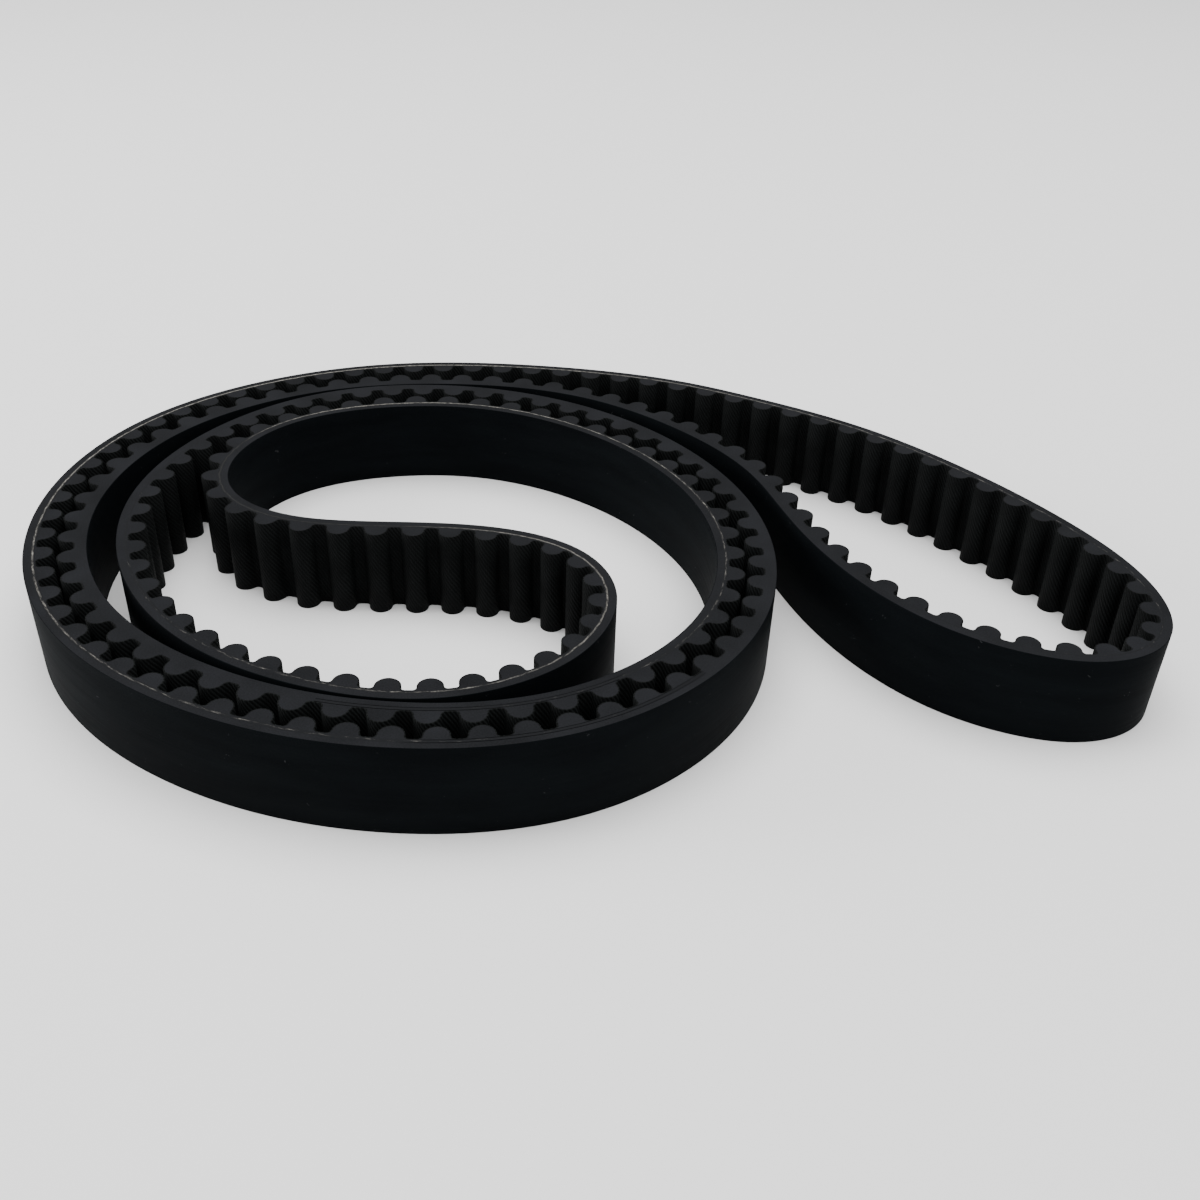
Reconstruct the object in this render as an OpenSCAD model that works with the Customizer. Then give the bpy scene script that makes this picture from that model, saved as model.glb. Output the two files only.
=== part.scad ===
/* [Length and width] */
// Number of teeth, which with the pitch sets the belt's length
teeth = 220; // [180:1:280]
// Distance from one tooth to the next along the cords
pitch = 8; // [7.5:0.25:10]
// Width of the belt
belt_w = 20; // [10:1:50]

/* [Section] */
// Rubber behind the cords
backing_t = 1.5; // [1:0.1:2.5]
// Thickness of the layer of cords
cord_d = 0.9; // [0.6:0.1:1.4]
// Most that one band of cord takes of the belt's width
cord_band_w = 2.5; // [1.25:0.25:5]
// Nylon fabric over the teeth and the lands between them
facing_t = 0.25; // [0.15:0.05:0.5]

/* [Teeth] */
// Height of a tooth above the land
tooth_h = 3.4; // [2.6:0.1:4.2]
// Width of a tooth across its flanks
tooth_w = 5.1; // [4:0.1:5.6]
// Rounding where a tooth meets the land
root_r = 0.76; // [0.3:0.02:0.9]

/* [Coil] */
// Gap between tooth tips where two strands face each other
tip_gap = 0.5; // [0.3:0.1:4]
// Least gap where two strands lie back to back
back_gap = 0.3; // [0.3:0.1:4]
// Distance along the belt from the first way point to the first tooth
first_tooth = 0.5; // [0:0.5:8]

/* [Hidden] */

// Offsets from the middle of the cords: plus is the tooth side, minus is the back.
land = cord_d / 2 + facing_t;
tip = land + tooth_h;
back = -(cord_d / 2 + backing_t);

// The belt is pressed into two strands, tooth to tooth, and the pair is rolled up.
strand_step = 2 * tip + tip_gap;
back_step = -2 * back + back_gap;

// A way point every 30 degrees round the coil, and its distance from the coil's centre
// on the pair's inner strand, over the first lap. The coil isn't quite round.
lap_angle = 30;
lap_r = [77, 73.5, 71, 73, 75.5, 74, 70, 65.5, 65, 68, 68, 63.5];
// Slack between backs where the second lap's pair lies inside the first
lap_slack = [5.5, 4, 0.6, 0.6];
// Slack between backs where the last strand goes on alone, at 510 to 630 degrees
end_slack = [4.5, 5.5, 4.5, 1.5, 0.3];
// How far the strands stand apart at 60 and 90 degrees, where the large loop begins
mouth_slack = [7.5, 1.5];

// Way points of the two end loops, from the coil's centre
large_loop_out = [[151, -25], [149, -9], [140, 9], [124, 30], [101, 51.5], [74, 67]];
large_loop_back = [[78, 16], [84, -1], [94, -19], [110, -34.5], [130, -41.5], [145, -37]];
small_loop = [[22, -55.5], [35, -43.5], [39.5, -26.5], [31.5, -11], [13.5, -4],
              [-7, -3.5], [-27, -3]];
// The small loop's neck, and how closely each of its way points follows the strand outside
neck = [[-42.5, 4], [-50, 18], [-46.5, 36]];
neck_follows = [0.5, 1, 1];

// What the way points were set out for: the belt's length, and the depth at which the
// neck's strand lies inside the first lap
set_out_length = 1760;
set_out_depth = 17.4;

// How finely the route and the round tips of the teeth are drawn
settling_passes = 14;
points_per_span = 16;
scaling_passes = 3;
tip_segments = 4;

function sum(v) = v * [for (x = v) 1];
function polar(angle, r) = r * [cos(angle), sin(angle)];

// Radius of the pair's inner strand: step counts way points, from 1 at 30 degrees.
// k scales the coil so that the belt comes out at its true length.
function inner_r(step, k) =
    step <= len(lap_r)
    ? k * lap_r[step - 1]
    : inner_r(step - len(lap_r), k) - strand_step - back_step - lap_slack[step - len(lap_r) - 1];
last_pair_step = len(lap_r) + len(lap_slack);
function outer_slack(step) = step <= len(mouth_slack) + 1 && step > 1 ? mouth_slack[step - 2] : 0;

// Thicker backs and taller teeth push the neck inwards, and so does a shorter belt.
neck_depth = strand_step + back_step + end_slack[0];
function pushed_in(p, by) = p - by * p / norm(p);

// The whole route, anticlockwise from the tip of the large loop, teeth on the left
function way_points(k) = [
    for (p = large_loop_out) k * p,
    for (i = [2 : last_pair_step])
        polar(i * lap_angle, inner_r(i, k) + strand_step + outer_slack(i)),
    for (i = [0 : len(end_slack) - 1])
        let (step = last_pair_step + 1 + i)
        polar(step * lap_angle, inner_r(step - len(lap_r), k) - back_step - end_slack[i]),
    for (p = small_loop) k * p,
    for (i = [0 : len(neck) - 1])
        pushed_in(k * neck[i], neck_follows[i] * (neck_depth - k * set_out_depth)),
    for (i = [last_pair_step : -1 : 1]) polar(i * lap_angle, inner_r(i, k)),
    for (p = large_loop_back) k * p
];

// A uniform cubic B-spline runs close to its control points. Each pass moves them by
// what is left between the curve and the way points, until it runs through them all.
function knot(p, i) =
    let (n = len(p)) (p[(i + n - 1) % n] + 4 * p[i] + p[(i + 1) % n]) / 6;
function settled(w, p, passes) =
    passes == 0 ? p : settled(w, [for (i = [0 : len(w) - 1]) p[i] + w[i] - knot(p, i)], passes - 1);
function spline(p) = [
    for (i = [0 : len(p) - 1], j = [0 : points_per_span - 1])
        let (n = len(p), t = j / points_per_span)
        (pow(1 - t, 3) * p[(i + n - 1) % n]
         + (3 * pow(t, 3) - 6 * t * t + 4) * p[i]
         + (-3 * pow(t, 3) + 3 * t * t + 3 * t + 1) * p[(i + 1) % n]
         + pow(t, 3) * p[(i + 2) % n]) / 6
];
function route(k) = let (w = way_points(k)) spline(settled(w, w, settling_passes));
function round_length(c) =
    sum([for (i = [0 : len(c) - 1]) norm(c[(i + 1) % len(c)] - c[i])]);

// The scale at which the route is teeth * pitch long, by straight-line guesses
belt_length = teeth * pitch;
function scale_for(k0, l0, k1, l1, passes) =
    passes == 0 || l1 == l0
    ? k1
    : let (k2 = k1 + (belt_length - l1) * (k1 - k0) / (l1 - l0))
      scale_for(k1, l1, k2, round_length(route(k2)), passes - 1);
first_guess = belt_length / set_out_length;
second_guess = first_guess * 1.01;
curve = route(scale_for(first_guess, round_length(route(first_guess)),
                        second_guess, round_length(route(second_guess)), scaling_passes));

// Distance along the curve at each of its points, and the place at any distance
count = len(curve);
function stretch(i) = norm(curve[(i + 1) % count] - curve[i % count]);
run = [for (i = 0, s = 0; i <= count; s = s + stretch(i), i = i + 1) s];
run_x = [for (i = [0 : count]) [run[i], curve[i % count].x]];
run_y = [for (i = [0 : count]) [run[i], curve[i % count].y]];
function along(s) =
    let (u = s - floor(s / run[count]) * run[count]) [lookup(u, run_x), lookup(u, run_y)];

// The belt stays straight under a tooth and bends at the lands, so it is drawn as one
// link per tooth. corners are the middles of the lands, on the cords.
corners = [for (i = [0 : teeth - 1]) along(first_tooth + (i - 0.5) * run[count] / teeth)];
function corner(i) = corners[(i + teeth) % teeth];
function way(i) = let (d = corner(i + 1) - corner(i)) d / norm(d);
function left(d) = [-d.y, d.x];
links = [for (i = [0 : teeth - 1]) [(corner(i) + corner(i + 1)) / 2, way(i)]];
// Where two links meet, a line beside the cords turns on the line that halves their angle.
mitres = [
    for (i = [0 : teeth - 1])
        let (a = left(way(i - 1)), b = left(way(i))) (a + b) / (1 + a * b)
];
function beside(i, y) = corners[i] + y * mitres[i];
function placed(link, p) = link[0] + p.x * link[1] + p.y * left(link[1]);

// Outlines carried round the belt: a line at the height y, broken at each link by points
function carried(y, points = []) = [
    for (i = [0 : teeth - 1])
        each concat([beside(i, y)], [for (p = points) placed(links[i], p)])
];
function arch(half_w, shoulder, top) = [
    for (i = [0 : tip_segments])
        let (a = 180 * (1 - i / tip_segments)) [half_w * cos(a), shoulder + (top - shoulder) * sin(a)]
];
shoulder = land + root_r;
core_half_w = tooth_w / 2 - facing_t;
core_outline = concat(
    [[-core_half_w, cord_d / 2]],
    arch(core_half_w, shoulder, tip - facing_t),
    [[core_half_w, cord_d / 2]]
);
tooth_foot = tooth_w / 2 + root_r;
tooth_outline = concat([[-tooth_foot, land]], arch(tooth_w / 2, shoulder, tip), [[tooth_foot, land]]);

// The origin is at the middle of the belt's plan, on the edge that it stands on.
back_outline = carried(back);
plan_low = [min([for (p = back_outline) p.x]), min([for (p = back_outline) p.y])];
plan_high = [max([for (p = back_outline) p.x]), max([for (p = back_outline) p.y])];
plan_middle = (plan_low + plan_high) / 2;

module standing(height, z = 0)
{
    translate([-plan_middle.x, -plan_middle.y, z]) linear_extrude(height) children();
}

// The space between two outlines, the first of which goes round the second
module between(outer, inner)
{
    polygon(concat(outer, inner),
            [[for (i = [0 : len(outer) - 1]) i], [for (i = [0 : len(inner) - 1]) len(outer) + i]]);
}

// Chloroprene backing with a ground back and cut edges
module backing()
{
    color("#2b2d30") standing(belt_w) between(back_outline, carried(-cord_d / 2));
}

// Two cords of opposite twist are wound side by side, round and round across the width.
// The layer is drawn in flat bands, one twist and then the other, with the skim of
// rubber between the cords counted in.
cord_bands = ceil(belt_w / cord_band_w);
cord_band_h = belt_w / cord_bands;
module cord_bands_from(first)
{
    for (i = [first : 2 : cord_bands - 1])
        standing(cord_band_h, i * cord_band_h) between(carried(-cord_d / 2), carried(cord_d / 2));
}

module cord_s_twist()
{
    color("#c9bfa4") cord_bands_from(0);
}

module cord_z_twist()
{
    color("#b5aa8e") cord_bands_from(1);
}

// Rubber core of every tooth, moulded on to the cords
module tooth_rubber()
{
    color("#242628")
        standing(belt_w)
            for (link = links)
                polygon([for (p = core_outline) placed(link, p)]);
}

// Nylon fabric in one endless skin over the teeth and the lands
module tooth_facing()
{
    color("#151617") standing(belt_w)
        between(carried(cord_d / 2, core_outline), carried(land, tooth_outline));
}

backing();
cord_s_twist();
cord_z_twist();
tooth_rubber();
tooth_facing();
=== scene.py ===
"""Looks of an endless round-tooth timing belt, rolled up and standing on its cut edge."""
import math

import bpy
import numpy as np
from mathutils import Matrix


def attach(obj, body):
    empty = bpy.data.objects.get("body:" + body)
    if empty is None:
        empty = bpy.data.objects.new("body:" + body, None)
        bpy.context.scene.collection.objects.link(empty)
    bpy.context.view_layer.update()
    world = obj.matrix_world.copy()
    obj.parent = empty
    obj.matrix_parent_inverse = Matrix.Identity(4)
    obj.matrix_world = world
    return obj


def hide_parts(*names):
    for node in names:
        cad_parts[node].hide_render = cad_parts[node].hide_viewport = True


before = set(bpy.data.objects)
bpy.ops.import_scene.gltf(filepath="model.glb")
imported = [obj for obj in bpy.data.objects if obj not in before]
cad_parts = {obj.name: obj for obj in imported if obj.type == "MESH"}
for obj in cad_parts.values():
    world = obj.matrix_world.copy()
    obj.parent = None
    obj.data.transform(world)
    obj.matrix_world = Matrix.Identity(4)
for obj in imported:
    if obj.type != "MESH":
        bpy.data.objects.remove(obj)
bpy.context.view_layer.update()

# ---------------------------------------------------------------------------------------
# Backing. A strip of chloroprene rubber behind the cords, moulded in a wide sleeve round
# a drum. Its back is ground to thickness on an abrasive belt, and then the sleeve is slit
# into belts, which leaves flat cut edges. It lies here as it was rolled up: two strands
# tooth to tooth, and the pair wound into a loose coil with a loop at each end.
MM = 0.001
BELT_W = 20 * MM
PITCH = 8 * MM
TEETH = 220
BELT_LENGTH = TEETH * PITCH
CORD_D = 0.9 * MM
FACING_T = 0.25 * MM
BACKING_T = 1.5 * MM
TOOTH_H = 3.4 * MM
LAND = CORD_D / 2 + FACING_T
TIP = LAND + TOOTH_H
BACK = -(CORD_D / 2 + BACKING_T)
TIP_GAP = 0.5 * MM
BACK_GAP = 0.3 * MM
STRAND_STEP = 2 * TIP + TIP_GAP
BACK_STEP = -2 * BACK + BACK_GAP

LAP_ANGLE = 30
LAP_R = [77, 73.5, 71, 73, 75.5, 74, 70, 65.5, 65, 68, 68, 63.5]
LAP_SLACK = [5.5, 4, 0.6, 0.6]
END_SLACK = [4.5, 5.5, 4.5, 1.5, 0.3]
MOUTH_SLACK = {2: 7.5, 3: 1.5}
LARGE_LOOP_OUT = [[151, -25], [149, -9], [140, 9], [124, 30], [101, 51.5], [74, 67]]
LARGE_LOOP_BACK = [[78, 16], [84, -1], [94, -19], [110, -34.5], [130, -41.5], [145, -37]]
SMALL_LOOP = [[22, -55.5], [35, -43.5], [39.5, -26.5], [31.5, -11], [13.5, -4],
              [-7, -3.5], [-27, -3]]
NECK = [[-42.5, 4], [-50, 18], [-46.5, 36]]
NECK_FOLLOWS = [0.5, 1, 1]
SET_OUT_DEPTH = 17.4 * MM


def way_points(scale):
    """Places that the middle of the cords passes through, from the coil's centre. Round the
    coil there is one every 30 degrees: the inner strand's radius is given for the first lap
    and steps in by two strands' depth for the second, and the outer strand is the inner one
    plus the depth of two facing rows of teeth. The small loop's neck moves towards the
    centre by what the strand outside it lies deeper than the scale alone would put it."""
    laps, last = len(LAP_R), len(LAP_R) + len(LAP_SLACK)

    def inner_r(step):
        if step <= laps:
            return scale * LAP_R[step - 1] * MM
        return inner_r(step - laps) - STRAND_STEP - BACK_STEP - LAP_SLACK[step - laps - 1] * MM

    def polar(step, r):
        angle = math.radians(step * LAP_ANGLE)
        return [r * math.cos(angle), r * math.sin(angle)]

    def loop(points):
        return [[scale * x * MM, scale * y * MM] for x, y in points]

    outer = [polar(i, inner_r(i) + STRAND_STEP + MOUTH_SLACK.get(i, 0) * MM)
             for i in range(2, last + 1)]
    alone = [polar(last + 1 + i, inner_r(last + 1 + i - laps) - BACK_STEP - slack * MM)
             for i, slack in enumerate(END_SLACK)]
    deeper = STRAND_STEP + BACK_STEP + END_SLACK[0] * MM - scale * SET_OUT_DEPTH
    neck = [[x - follows * deeper * x / math.hypot(x, y),
             y - follows * deeper * y / math.hypot(x, y)]
            for (x, y), follows in zip(loop(NECK), NECK_FOLLOWS)]
    inner = [polar(i, inner_r(i)) for i in range(last, 0, -1)]
    return np.array(loop(LARGE_LOOP_OUT) + outer + alone + loop(SMALL_LOOP) + neck
                    + inner + loop(LARGE_LOOP_BACK))


SETTLING_PASSES = 40


def settled(way):
    """Control points of the uniform cubic B-spline that runs through the way points: each
    pass moves them by what is left between the way points and the curve."""
    p = way.copy()
    for _ in range(SETTLING_PASSES):
        p += way - (np.roll(p, 1, 0) + 4 * p + np.roll(p, -1, 0)) / 6
    return p


def spline(p, t):
    """Points and directions of the closed B-spline at the parameters t: four neighbouring
    control points weighed by cubics in t's fraction, and by their slopes for the direction."""
    i = np.floor(t).astype(int)
    f = (t - i)[:, None]
    near = [p[(i + k) % len(p)] for k in (-1, 0, 1, 2)]
    weights = [(1 - f) ** 3, 3 * f ** 3 - 6 * f ** 2 + 4,
               -3 * f ** 3 + 3 * f ** 2 + 3 * f + 1, f ** 3]
    slopes = [-3 * (1 - f) ** 2, 9 * f ** 2 - 12 * f, -9 * f ** 2 + 6 * f + 3, 3 * f ** 2]
    place = sum(w * q for w, q in zip(weights, near)) / 6
    way = sum(w * q for w, q in zip(slopes, near))
    return place, way / np.linalg.norm(way, axis=1)[:, None]


STEPS_PER_SPAN = 64


def measured(scale):
    """The control points at a scale, with the distance run at fine steps of the parameter:
    the sum of the straight lines from each step to the next."""
    p = settled(way_points(scale))
    t = np.linspace(0, len(p), len(p) * STEPS_PER_SPAN + 1)
    c = spline(p, t)[0]
    return p, t, np.concatenate([[0], np.cumsum(np.linalg.norm(np.diff(c, axis=0), axis=1))])


# The scale at which the route is as long as the belt, by halving the range it lies in
SCALE_HALVINGS = 30
low, high = 0.95, 1.05
for _ in range(SCALE_HALVINGS):
    middle = (low + high) / 2
    control, run_t, run_s = measured(middle)
    low, high = (middle, high) if run_s[-1] < BELT_LENGTH else (low, middle)

FIRST_TOOTH = 0.5 * MM


def run_at(s):
    """Where the middle of the cords is, and which way it runs, at the distances s."""
    u = np.mod(s, BELT_LENGTH) * run_s[-1] / BELT_LENGTH
    return spline(control, np.interp(u, run_s, run_t))


def beside(s, off):
    """Points off to the left of the run, the tooth side, at the distances s."""
    place, way = run_at(s)
    return place + off[:, None] * np.stack([-way[:, 1], way[:, 0]], axis=1)


# The plan's middle is the frame's origin, as in the CAD model.
fine_s = np.arange(0, BELT_LENGTH, 0.5 * MM)
back_line = beside(fine_s, np.full(len(fine_s), BACK))
PLAN_MIDDLE = (back_line.min(axis=0) + back_line.max(axis=0)) / 2


def closed_band(name, sections, uv, flat_rows):
    """A closed band from an array [around the section, along the belt, xyz] that joins up
    both ways. uv has one more row and column, so that a pattern runs on past the seams.
    The rows of faces named in flat_rows are cut flat, and the others are shaded smooth."""
    rows, cols = sections.shape[:2]
    index = np.arange(rows * cols).reshape(rows, cols)
    right = np.roll(index, -1, axis=1)
    quads = np.stack([index, right, np.roll(right, -1, axis=0), np.roll(index, -1, axis=0)],
                     axis=2)
    mesh = bpy.data.meshes.new(name)
    mesh.from_pydata(sections.reshape(-1, 3).tolist(), [], quads.reshape(-1, 4).tolist())
    layer = mesh.uv_layers.new(name="UVMap")
    corners = np.stack([uv[:-1, :-1], uv[:-1, 1:], uv[1:, 1:], uv[1:, :-1]], axis=2)
    layer.data.foreach_set("uv", corners.reshape(-1).astype(np.float32))
    smooth = np.repeat(~np.isin(np.arange(rows), flat_rows), cols)
    mesh.polygons.foreach_set("use_smooth", smooth)
    mesh.update()
    piece = bpy.data.objects.new(name, mesh)
    bpy.context.scene.collection.objects.link(piece)
    return piece


def linear(hex_colour):
    """An sRGB hex colour as linear red, green, blue and alpha."""
    srgb = np.array([int(hex_colour[i:i + 2], 16) / 255 for i in (1, 3, 5)])
    rgb = np.where(srgb <= 0.04045, srgb / 12.92, ((srgb + 0.055) / 1.055) ** 2.4)
    return (*rgb.tolist(), 1.0)


def add(tree, kind, inputs=None, **settings):
    """Adds a node of a kind to a tree with its settings. An input is a value or a socket."""
    node = tree.nodes.new(kind)
    for name, value in settings.items():
        setattr(node, name, value)
    for key, value in (inputs or {}).items():
        if isinstance(value, bpy.types.NodeSocket):
            tree.links.new(value, node.inputs[key])
        else:
            node.inputs[key].default_value = value
    return node


def blank_material(name):
    """An empty material with its shader, which the caller fills in."""
    material = bpy.data.materials.new(name)
    material.use_nodes = True
    tree = material.node_tree
    tree.nodes.clear()
    shader = add(tree, "ShaderNodeBsdfPrincipled")
    add(tree, "ShaderNodeOutputMaterial", {"Surface": shader.outputs["BSDF"]})
    return material, tree, shader


# Ground back: the abrasive leaves a fine satin of scratches along the belt, and the black
# rubber picks up a little pale lint. UV is in millimetres, along the belt and across it.
ground_rubber, tree, shader = blank_material("ground_chloroprene_rubber")
uv = add(tree, "ShaderNodeUVMap", uv_map="UVMap").outputs["UV"]
streak_map = add(tree, "ShaderNodeMapping", {"Vector": uv, "Scale": (0.03, 3.0, 1.0)})
streaks = add(tree, "ShaderNodeTexNoise", {"Vector": streak_map.outputs["Vector"], "Scale": 1.0,
                                           "Detail": 6.0, "Roughness": 0.6})
grain = add(tree, "ShaderNodeTexNoise", {"Vector": uv, "Scale": 3.0, "Detail": 3.0})
bloom_map = add(tree, "ShaderNodeMapping", {"Vector": uv, "Scale": (0.03, 0.15, 1.0)})
bloom = add(tree, "ShaderNodeTexNoise", {"Vector": bloom_map.outputs["Vector"], "Scale": 1.0,
                                         "Detail": 4.0, "Roughness": 0.6})
cloudy = add(tree, "ShaderNodeMapRange", {"Value": bloom.outputs["Fac"], "From Min": 0.35,
                                          "From Max": 0.65})
tone = add(tree, "ShaderNodeMixRGB", {"Fac": cloudy.outputs["Result"], "Color1": linear("#07090b"),
                                      "Color2": linear("#0b0e10")})
lint = add(tree, "ShaderNodeTexNoise", {"Vector": uv, "Scale": 0.8, "Detail": 1.0,
                                        "Distortion": 1.5})
lint_mask = add(tree, "ShaderNodeMapRange", {"Value": lint.outputs["Fac"], "From Min": 0.765,
                                             "From Max": 0.81})
dusty = add(tree, "ShaderNodeMixRGB", {"Fac": lint_mask.outputs["Result"],
                                       "Color1": tone.outputs["Color"], "Color2": linear("#2c2d2f")})
shine = add(tree, "ShaderNodeMapRange", {"Value": streaks.outputs["Fac"], "From Min": 0.3,
                                         "From Max": 0.7, "To Min": 0.6, "To Max": 0.72})
height = add(tree, "ShaderNodeMath", {0: streaks.outputs["Fac"], 1: grain.outputs["Fac"]},
             operation="ADD")
bump = add(tree, "ShaderNodeBump", {"Height": height.outputs["Value"], "Strength": 0.3,
                                    "Distance": 0.00004})
tree.links.new(dusty.outputs["Color"], shader.inputs["Base Color"])
tree.links.new(shine.outputs["Result"], shader.inputs["Roughness"])
tree.links.new(bump.outputs["Normal"], shader.inputs["Normal"])
shader.inputs["Specular IOR Level"].default_value = 0.02

# Cut edge: the slitting knife leaves it flat and matt grey, cloudy where it dragged, with
# a fine sandy grain and faint marks across the belt's section.
cut_rubber, tree, shader = blank_material("cut_chloroprene_rubber")
place = add(tree, "ShaderNodeTexCoord").outputs["Object"]
cloud = add(tree, "ShaderNodeTexNoise", {"Vector": place, "Scale": 90.0, "Detail": 3.0})
speck = add(tree, "ShaderNodeTexNoise", {"Vector": place, "Scale": 3200.0, "Detail": 2.0})
mixed = add(tree, "ShaderNodeMath", {0: cloud.outputs["Fac"], 1: speck.outputs["Fac"]},
            operation="ADD")
level = add(tree, "ShaderNodeMapRange", {"Value": mixed.outputs["Value"], "From Min": 0.7,
                                         "From Max": 1.3})
tone = add(tree, "ShaderNodeMixRGB", {"Fac": level.outputs["Result"], "Color1": linear("#0e0f11"),
                                      "Color2": linear("#1a1b1e")})
knife_uv = add(tree, "ShaderNodeUVMap", uv_map="UVMap").outputs["UV"]
knife_map = add(tree, "ShaderNodeMapping", {"Vector": knife_uv, "Scale": (1.4, 0.05, 1.0)})
knife = add(tree, "ShaderNodeTexNoise", {"Vector": knife_map.outputs["Vector"], "Scale": 1.0,
                                         "Detail": 5.0, "Roughness": 0.65})
rough = add(tree, "ShaderNodeMath", {0: knife.outputs["Fac"], 1: speck.outputs["Fac"]},
            operation="ADD")
bump = add(tree, "ShaderNodeBump", {"Height": rough.outputs["Value"], "Strength": 0.35,
                                    "Distance": 0.00004})
tree.links.new(tone.outputs["Color"], shader.inputs["Base Color"])
tree.links.new(bump.outputs["Normal"], shader.inputs["Normal"])
shader.inputs["Roughness"].default_value = 0.75
shader.inputs["Specular IOR Level"].default_value = 0.08

# The knife takes the very corner off the back and leaves it a little rounded. The cords'
# cut ends stand a hair above the rubber, so at the upper edge the rubber stops just short
# of the belt's full width.
KNIFE_CHAMFER = 0.12 * MM
CHAMFER_MIDDLE = 0.3 * KNIFE_CHAMFER
EDGE_SHY = 0.01 * MM
# The CAD model's back is drawn in straight links, and this smooth one stays inside its box.
SMOOTH_BACK = BACK + 0.03 * MM
LOW_Z, TOP_Z = 0.0, BELT_W - EDGE_SHY
BACK_SPACING = 1 * MM


def section_band(name, lines, offs_uv, s, flat_rows):
    """A closed band whose section is a list of (off, z) lines, each carried round the belt
    at its own distance off the cords. Its UV is the run along and the way round the section."""
    sections = np.stack([
        np.column_stack([beside(s, np.full(len(s), off)) - PLAN_MIDDLE, np.full(len(s), z)])
        for off, z in lines])
    along = np.append(s, s[0] + BELT_LENGTH) / MM
    uv_grid = np.stack(np.broadcast_arrays(along[None, :], np.array(offs_uv)[:, None]), axis=2)
    return closed_band(name, sections, uv_grid, flat_rows)


# Round the section: the face on the cords, the upper edge, the back with a chamfer above
# and below it, and the lower edge
backing_s = np.arange(0, BELT_LENGTH, BACK_SPACING)
backing_lines = [(0.0, LOW_Z), (0.0, TOP_Z), (SMOOTH_BACK + KNIFE_CHAMFER, TOP_Z),
                 (SMOOTH_BACK + CHAMFER_MIDDLE, TOP_Z - CHAMFER_MIDDLE),
                 (SMOOTH_BACK, TOP_Z - KNIFE_CHAMFER), (SMOOTH_BACK, LOW_Z + KNIFE_CHAMFER),
                 (SMOOTH_BACK + CHAMFER_MIDDLE, LOW_Z + CHAMFER_MIDDLE),
                 (SMOOTH_BACK + KNIFE_CHAMFER, LOW_Z)]
CORD_FACE, UPPER_EDGE, LOWER_EDGE = 0, 1, 7
steps = [0] + [math.dist(a, b) / MM
               for a, b in zip(backing_lines, backing_lines[1:] + backing_lines[:1])]
backing = section_band("backing_rubber", backing_lines, np.cumsum(steps), backing_s,
                       (CORD_FACE, UPPER_EDGE, LOWER_EDGE))
backing.data.materials.append(ground_rubber)
backing.data.materials.append(cut_rubber)
row = np.arange(len(backing.data.polygons)) // len(backing_s)
cut_rows = np.isin(row, (UPPER_EDGE, LOWER_EDGE))
backing.data.polygons.foreach_set("material_index", cut_rows.astype(np.int32))
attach(backing, "root")
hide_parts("backing")

# ---------------------------------------------------------------------------------------
# Tension cords. Two glass cords, one twisted each way, wound side by side round and
# round the drum. Slitting cuts through a turn of each at a shallow angle, which shows as
# a long pale fibrous line on the edge, close behind the teeth.
CORD_LEAD = 2.5 * MM
CORD_SIDES = 12
CORD_SPACING = 4 * MM
CORD_R = CORD_D / 2
# How far past an edge the cord's middle goes before too little of the cord is left to draw
CORD_PAST_EDGE = 0.9 * CORD_R


def cord_tube(name, start):
    """A round cord wound as a helix across the belt: its middle rises by one lead each time
    round, from start, the distance along the belt at which it crosses the lower edge. Where
    it crosses an edge its section is cut off flat. UV is the run along and the place across
    the cord, in millimetres, and cut_depth is how far its middle is from the nearer edge."""
    first = start - CORD_PAST_EDGE / CORD_LEAD * BELT_LENGTH
    last = start + (BELT_W + CORD_PAST_EDGE) / CORD_LEAD * BELT_LENGTH
    s = np.arange(first, last, CORD_SPACING)
    middle_z = (s - start) / BELT_LENGTH * CORD_LEAD
    turn = (np.arange(CORD_SIDES) + 0.5) * math.tau / CORD_SIDES
    rings = np.stack([
        np.column_stack([beside(s, np.full(len(s), CORD_R * math.cos(a))) - PLAN_MIDDLE,
                         np.clip(middle_z + CORD_R * math.sin(a), 0, BELT_W)])
        for a in turn], axis=1)
    index = np.arange(len(s) * CORD_SIDES).reshape(len(s), CORD_SIDES)
    after = np.roll(index, -1, axis=1)
    quads = np.stack([index[:-1], index[1:], after[1:], after[:-1]], axis=2).reshape(-1, 4)
    mesh = bpy.data.meshes.new(name)
    mesh.from_pydata(rings.reshape(-1, 3).tolist(), [],
                     quads.tolist() + [index[0].tolist(), index[-1][::-1].tolist()])
    corner_z = rings.reshape(-1, 3)[:, 2][quads]
    cut_flat = np.all((corner_z == 0) | (corner_z == BELT_W), axis=1)
    mesh.polygons.foreach_set("use_smooth", np.append(~cut_flat, [True, True]))
    corners = np.zeros(len(mesh.loops), np.int32)
    mesh.loops.foreach_get("vertex_index", corners)
    run_and_across = np.stack(np.broadcast_arrays(s[:, None], CORD_R * np.cos(turn)), axis=2) / MM
    corner_uv = run_and_across.reshape(-1, 2)[corners]
    layer = mesh.uv_layers.new(name="UVMap")
    layer.data.foreach_set("uv", corner_uv.reshape(-1).astype(np.float32))
    depth = np.repeat(np.minimum(np.abs(middle_z), np.abs(BELT_W - middle_z)) / MM, CORD_SIDES)
    cut_depth = mesh.attributes.new("cut_depth", "FLOAT", "POINT")
    cut_depth.data.foreach_set("value", depth.astype(np.float32))
    mesh.update()
    piece = bpy.data.objects.new(name, mesh)
    bpy.context.scene.collection.objects.link(piece)
    return piece


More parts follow.
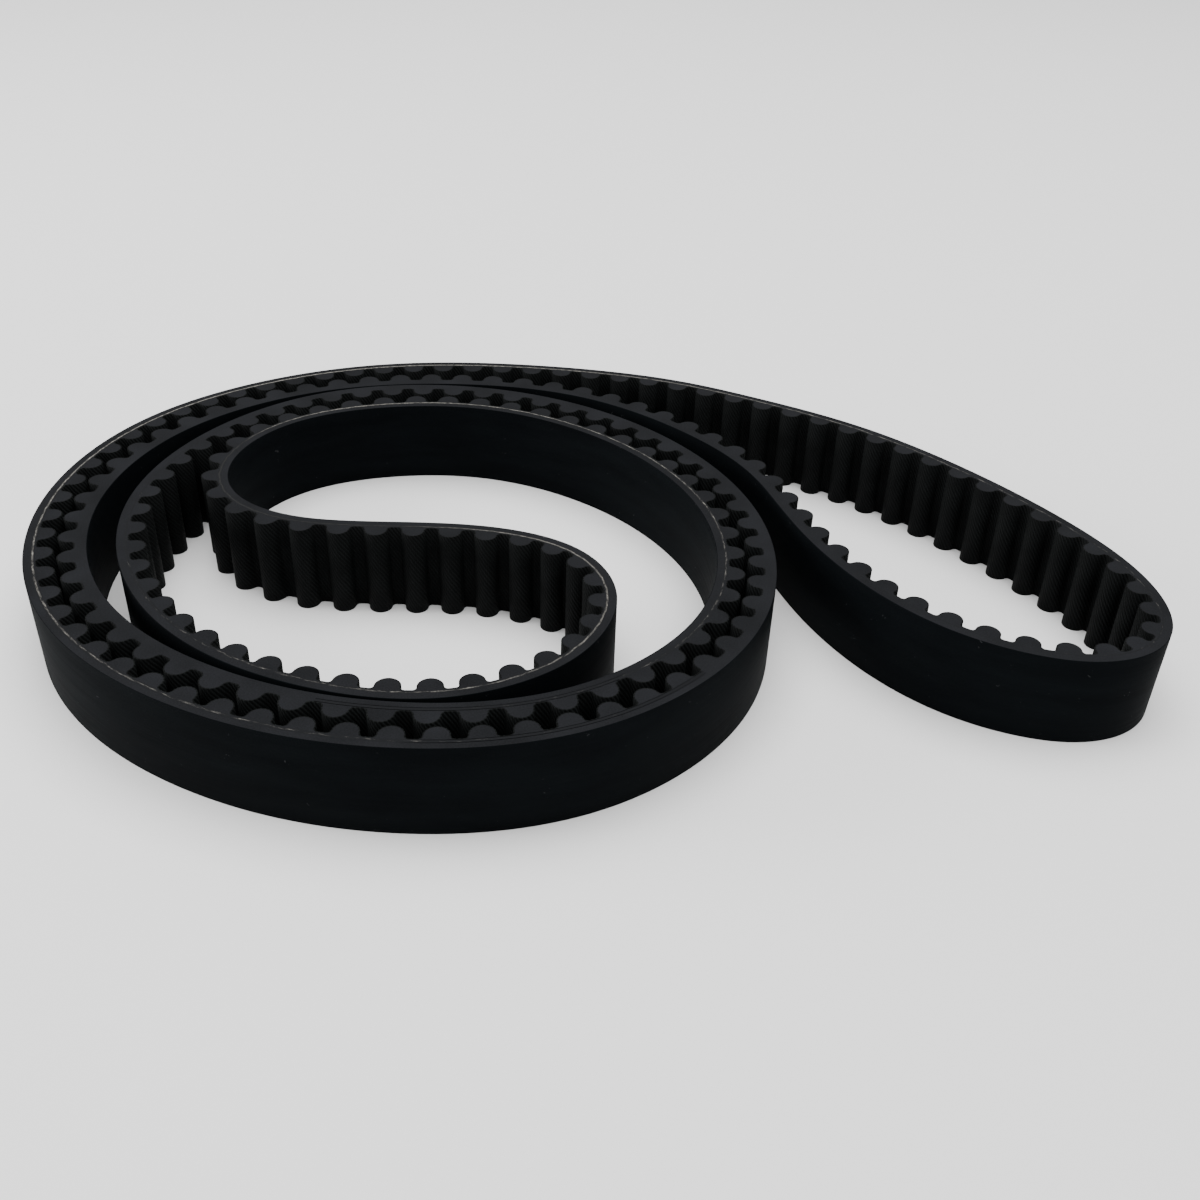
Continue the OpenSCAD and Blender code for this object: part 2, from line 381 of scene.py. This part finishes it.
# Cut glass cord: the outer plies are soaked with black adhesive, so only where the knife
# went through the cord's heart do pale filaments show, as a thin frayed line. It breaks up
# into dashes towards its ends, and on one stretch the knife dragged rubber over it. That
# place and how far to each side the rubber lies thick and ends are in millimetres.
DRAGGED_OVER_AT, DRAGGED_FROM, DRAGGED_TO = 1030, 35, 65
cut_cord, tree, shader = blank_material("cut_glass_cord")
uv = add(tree, "ShaderNodeUVMap", uv_map="UVMap").outputs["UV"]
parts = add(tree, "ShaderNodeSeparateXYZ", {"Vector": uv})
waver_map = add(tree, "ShaderNodeMapping", {"Vector": uv, "Scale": (0.3, 0.0, 1.0)})
waver = add(tree, "ShaderNodeTexNoise", {"Vector": waver_map.outputs["Vector"], "Scale": 1.0,
                                         "Detail": 5.0, "Roughness": 0.7})
lean = add(tree, "ShaderNodeMath", {0: waver.outputs["Fac"], 1: 0.5}, operation="SUBTRACT")
shifted = add(tree, "ShaderNodeMath", {0: lean.outputs["Value"], 1: 0.6, 2: parts.outputs["Y"]},
              operation="MULTIPLY_ADD")
aside = add(tree, "ShaderNodeMath", {0: shifted.outputs["Value"]}, operation="ABSOLUTE")
heart = add(tree, "ShaderNodeMapRange", {"Value": aside.outputs["Value"], "From Min": 0.08,
                                         "From Max": 0.24, "To Min": 1.0, "To Max": 0.0})
dash_map = add(tree, "ShaderNodeMapping", {"Vector": uv, "Scale": (0.35, 2.0, 1.0)})
dashes = add(tree, "ShaderNodeTexNoise", {"Vector": dash_map.outputs["Vector"], "Scale": 1.0,
                                          "Detail": 5.0, "Roughness": 0.75})
depth = add(tree, "ShaderNodeAttribute", attribute_name="cut_depth").outputs["Fac"]
fading = add(tree, "ShaderNodeMath", {0: depth, 1: -1.0, 2: dashes.outputs["Fac"]},
             operation="MULTIPLY_ADD")
broken = add(tree, "ShaderNodeMapRange", {"Value": fading.outputs["Value"], "From Min": 0.22,
                                          "From Max": 0.52})
from_drag = add(tree, "ShaderNodeMath", {0: parts.outputs["X"], 1: DRAGGED_OVER_AT},
                operation="SUBTRACT")
nearest_drag = add(tree, "ShaderNodeMath", {0: from_drag.outputs["Value"],
                                            1: BELT_LENGTH / 2 / MM}, operation="PINGPONG")
clear_of_drag = add(tree, "ShaderNodeMapRange", {"Value": nearest_drag.outputs["Value"],
                                                 "From Min": DRAGGED_FROM,
                                                 "From Max": DRAGGED_TO, "To Min": 0.06})
fleck_map = add(tree, "ShaderNodeMapping", {"Vector": uv, "Scale": (1.0, 5.0, 1.0)})
flecks = add(tree, "ShaderNodeTexNoise", {"Vector": fleck_map.outputs["Vector"], "Scale": 1.0,
                                          "Detail": 4.0, "Roughness": 0.7})
fleck_level = add(tree, "ShaderNodeMapRange", {"Value": flecks.outputs["Fac"], "From Min": 0.4,
                                               "From Max": 0.6, "To Min": 0.15})
frayed = add(tree, "ShaderNodeMath", {0: heart.outputs["Result"], 1: broken.outputs["Result"]},
             operation="MULTIPLY")
flecked = add(tree, "ShaderNodeMath", {0: frayed.outputs["Value"],
                                       1: fleck_level.outputs["Result"]}, operation="MULTIPLY")
shows = add(tree, "ShaderNodeMath", {0: flecked.outputs["Value"],
                                     1: clear_of_drag.outputs["Result"]}, operation="MULTIPLY")
tone = add(tree, "ShaderNodeMixRGB", {"Fac": shows.outputs["Value"], "Color1": linear("#141517"),
                                      "Color2": linear("#98958e")})
bump = add(tree, "ShaderNodeBump", {"Height": flecks.outputs["Fac"], "Strength": 0.4,
                                    "Distance": 0.00005})
tree.links.new(tone.outputs["Color"], shader.inputs["Base Color"])
tree.links.new(bump.outputs["Normal"], shader.inputs["Normal"])
shader.inputs["Roughness"].default_value = 0.75
shader.inputs["Specular IOR Level"].default_value = 0.08

CORD_S_START = 235 * MM
CORD_Z_START = 1050 * MM
for name, node, slot, start in (("cord_s", "cord_s_twist", "cord_s", CORD_S_START),
                                ("cord_z", "cord_z_twist", "cord_z", CORD_Z_START)):
    cord = cord_tube(name, start)
    cord.data.materials.append(cut_cord)
    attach(cord, "root")
    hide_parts(node)

# ---------------------------------------------------------------------------------------
# Tooth rubber. The same compound, pressed through between the cords to fill the teeth
# under the fabric, so on the cut edge it runs into the backing with no line between.
TOOTH_W = 5.1 * MM
ROOT_R = 0.76 * MM
FOOT = TOOTH_W / 2 + ROOT_R
SHOULDER = LAND + ROOT_R
LAND_POINTS, FILLET_POINTS, ARCH_POINTS = 2, 5, 15
# Height above the land from which a tooth stands stiff
STIFF_HEIGHT = 0.6 * TOOTH_H
# Depth of the core in its UV, in millimetres: close to the tooth's, and the same all over
CORE_UV_DEPTH = 4


def tooth_profile(inset):
    """One pitch of the tooth side as (x, y) about a tooth: half the land, a quarter circle
    for the root's fillet, half an ellipse over the tip, and the same back down. inset is
    the distance inside the skin, so the fillet's radius grows by it and the arch shrinks."""
    half_w, top, floor = TOOTH_W / 2 - inset, TIP - inset, LAND - inset
    fillet_r = ROOT_R + inset
    land_x = np.linspace(-PITCH / 2, -FOOT, LAND_POINTS + 1)[:-1]
    a = np.linspace(0, math.pi / 2, FILLET_POINTS)
    fillet = np.column_stack([-FOOT + fillet_r * np.sin(a), SHOULDER - fillet_r * np.cos(a)])
    b = np.linspace(math.pi, math.pi / 2, ARCH_POINTS // 2 + 1)[1:]
    arch = np.column_stack([half_w * np.cos(b), SHOULDER + (top - SHOULDER) * np.sin(b)])
    rise = np.concatenate([np.column_stack([land_x, np.full(len(land_x), floor)]), fillet, arch])
    fall = rise[-2:0:-1] * [-1, 1]
    return np.concatenate([rise, fall])


def tooth_line(profile):
    """The profile carried round the belt. At the land it follows the belt's bend, and it
    goes over by a smooth step in the height, three squares less two cubes, to a stiff tooth
    that stands square on its middle."""
    middles = FIRST_TOOTH + np.arange(TEETH) * PITCH
    x, y = np.tile(profile[:, 0], TEETH), np.tile(profile[:, 1], TEETH)
    centre = np.repeat(middles, len(profile))
    bent = beside(centre + x, y)
    place, way = run_at(centre)
    stiff = place + x[:, None] * way + y[:, None] * np.stack([-way[:, 1], way[:, 0]], axis=1)
    rise = np.clip((y - LAND) / STIFF_HEIGHT, 0, 1)[:, None]
    share = rise * rise * (3 - 2 * rise)
    return (1 - share) * bent + share * stiff - PLAN_MIDDLE, centre + x


def with_height(line, z):
    """A plan line as points at one height."""
    return np.column_stack([line, np.full(len(line), z)])


skin_profile, core_profile = tooth_profile(0.0), tooth_profile(FACING_T)
core_line, core_s = tooth_line(core_profile)
floor_x = np.linspace(-PITCH / 2, PITCH / 2, len(core_profile) + 1)[:-1]
floor_s = (FIRST_TOOTH + np.arange(TEETH)[:, None] * PITCH + floor_x).reshape(-1)
floor_line = beside(floor_s, np.zeros(len(floor_s))) - PLAN_MIDDLE
tooth_sections = np.stack([with_height(core_line, LOW_Z), with_height(core_line, TOP_Z),
                           with_height(floor_line, TOP_Z), with_height(floor_line, LOW_Z)])
along = np.append(core_s, core_s[0] + BELT_LENGTH) / MM
width = BELT_W / MM
core_across = np.cumsum([0, width, CORE_UV_DEPTH, width, CORE_UV_DEPTH])
tooth_uv = np.stack(np.broadcast_arrays(along[None, :], core_across[:, None]), axis=2)
teeth = closed_band("tooth_cores", tooth_sections, tooth_uv, (1, 2, 3))
teeth.data.materials.append(cut_rubber)
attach(teeth, "root")
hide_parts("tooth_rubber")

# ---------------------------------------------------------------------------------------
# Tooth facing. A sleeve of black nylon twill that the rubber presses into the mould, so
# it wraps every tooth and land in one skin. Rubber strikes through it and leaves it almost
# black, with the twill's ridges running aslant across the belt.
EDGE_FRAY = 0.05 * MM
EDGE_SHRINK = 0.3 * FACING_T
skin_line = tooth_line(skin_profile)[0]
shrunk_line = tooth_line(tooth_profile(EDGE_SHRINK))[0]
skin_sections = np.stack([
    with_height(shrunk_line, LOW_Z), with_height(skin_line, LOW_Z + EDGE_FRAY),
    with_height(skin_line, TOP_Z - EDGE_FRAY), with_height(shrunk_line, TOP_Z),
    with_height(core_line, TOP_Z), with_height(core_line, LOW_Z)])

# The cloth's UV follows its outline, so the weave isn't stretched over the teeth.
one_pitch = np.vstack([skin_profile, skin_profile[:1] + [PITCH, 0]])
cloth_step = np.linalg.norm(np.diff(one_pitch, axis=0), axis=1)
cloth_pitch = cloth_step.sum()
cloth_x = np.concatenate([[0], np.cumsum(cloth_step)[:-1]])
cloth_along = (np.arange(TEETH)[:, None] * cloth_pitch + cloth_x).reshape(-1)
cloth_along = np.append(cloth_along, TEETH * cloth_pitch) / MM
fray = EDGE_FRAY / MM
cloth_across = np.cumsum([0, fray, width - 2 * fray, 2 * fray, FACING_T / MM, width, 2 * fray])
skin_uv = np.stack(np.broadcast_arrays(cloth_along[None, :], cloth_across[:, None]), axis=2)
facing = closed_band("nylon_tooth_facing", skin_sections, skin_uv, (3, 5))

# Nylon twill, rubbed with rubber: ridges 0.7 mm apart on a steep diagonal, each broken
# into short floats by the yarns that cross it. The wave textures are scaled to make one
# band for each unit, and the mapping before them makes the unit a real spacing.
ONE_BAND_A_UNIT = math.tau / 20
nylon_twill, tree, shader = blank_material("rubbed_nylon_twill")
TWILL_STEP, FLOAT_STEP, TWILL_ANGLE = 0.7, 0.45, math.radians(32)
uv = add(tree, "ShaderNodeUVMap", uv_map="UVMap").outputs["UV"]
wander = add(tree, "ShaderNodeTexNoise", {"Vector": uv, "Scale": 0.7, "Detail": 2.0})
shift = add(tree, "ShaderNodeVectorMath", {0: wander.outputs["Color"], 1: (0.25, 0.25, 0.0)},
            operation="MULTIPLY")
laid = add(tree, "ShaderNodeVectorMath", {0: uv, 1: shift.outputs["Vector"]}, operation="ADD")
ridge_map = add(tree, "ShaderNodeMapping", {"Vector": laid.outputs["Vector"],
                                            "Rotation": (0.0, 0.0, TWILL_ANGLE),
                                            "Scale": (1 / TWILL_STEP, 1 / TWILL_STEP, 1.0)})
ridges = add(tree, "ShaderNodeTexWave", {"Vector": ridge_map.outputs["Vector"],
                                         "Scale": ONE_BAND_A_UNIT, "Distortion": 0.4,
                                         "Detail": 1.0},
             bands_direction="X")
float_map = add(tree, "ShaderNodeMapping", {"Vector": laid.outputs["Vector"],
                                            "Scale": (1 / FLOAT_STEP, 1 / FLOAT_STEP, 1.0)})
floats = add(tree, "ShaderNodeTexWave", {"Vector": float_map.outputs["Vector"],
                                         "Scale": ONE_BAND_A_UNIT, "Distortion": 1.0,
                                         "Detail": 1.0},
             bands_direction="X")
weave = add(tree, "ShaderNodeMath", {0: floats.outputs["Fac"], 1: 0.35, 2: ridges.outputs["Fac"]},
            operation="MULTIPLY_ADD")
worn = add(tree, "ShaderNodeTexNoise", {"Vector": uv, "Scale": 0.12, "Detail": 3.0})
ridge_tone = add(tree, "ShaderNodeMath", {0: weave.outputs["Value"], 1: worn.outputs["Fac"]},
                 operation="MULTIPLY")
level = add(tree, "ShaderNodeMapRange", {"Value": ridge_tone.outputs["Value"], "From Min": 0.2,
                                         "From Max": 0.8})
tone = add(tree, "ShaderNodeMixRGB", {"Fac": level.outputs["Result"], "Color1": linear("#090a0a"),
                                      "Color2": linear("#161818")})
bump = add(tree, "ShaderNodeBump", {"Height": weave.outputs["Value"], "Strength": 0.8,
                                    "Distance": 0.00012})
tree.links.new(tone.outputs["Color"], shader.inputs["Base Color"])
tree.links.new(bump.outputs["Normal"], shader.inputs["Normal"])
shader.inputs["Roughness"].default_value = 0.65
shader.inputs["Specular IOR Level"].default_value = 0.04
facing.data.materials.append(nylon_twill)
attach(facing, "root")
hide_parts("tooth_facing")

# ---------------------------------------------------------------------------------------
# Floor, light and camera: a pale table under a large soft light from above, with a small
# one low on the left. The camera looks down on the belt from the front.
bpy.ops.mesh.primitive_plane_add(size=6)
floor = bpy.context.object
floor.name = "floor"
pale, tree, shader = blank_material("pale_matt_floor")
shader.inputs["Base Color"].default_value = (0.86, 0.86, 0.86, 1.0)
shader.inputs["Roughness"].default_value = 0.9
shader.inputs["Specular IOR Level"].default_value = 0.0
floor.data.materials.append(pale)

world = bpy.data.worlds.new("studio")
world.use_nodes = True
world.node_tree.nodes["Background"].inputs["Color"].default_value = (1.0, 1.0, 1.0, 1.0)
world.node_tree.nodes["Background"].inputs["Strength"].default_value = 0.55
bpy.context.scene.world = world


def soft_light(name, place, size, watts):
    """A square area light at a place, turned to face the belt."""
    data = bpy.data.lights.new(name, "AREA")
    data.size, data.energy = size, watts
    lamp = bpy.data.objects.new(name, data)
    lamp.location = place
    lamp.rotation_euler = (math.atan2(math.hypot(place[0], place[1]), place[2]), 0.0,
                           math.atan2(-place[1], -place[0]) - math.pi / 2)
    bpy.context.scene.collection.objects.link(lamp)


soft_light("top_light", (0.05, 0.1, 1.4), 1.6, 40.0)
soft_light("left_light", (-0.9, 0.0, 0.3), 0.4, 6.0)

LENS_MM, SENSOR_MM = 38.8, 36.0
TILT, ROLL = math.radians(34.2), math.radians(2.17)
camera = bpy.data.objects.new("camera", bpy.data.cameras.new("camera"))
camera.data.sensor_width, camera.data.lens = SENSOR_MM, LENS_MM
camera.data.clip_start = 0.01
camera.location = (0.00389, -0.2458, 0.16484)
camera.rotation_mode = "ZXY"
camera.rotation_euler = (math.pi / 2 - TILT, 0.0, ROLL)
bpy.context.scene.collection.objects.link(camera)
bpy.context.scene.camera = camera
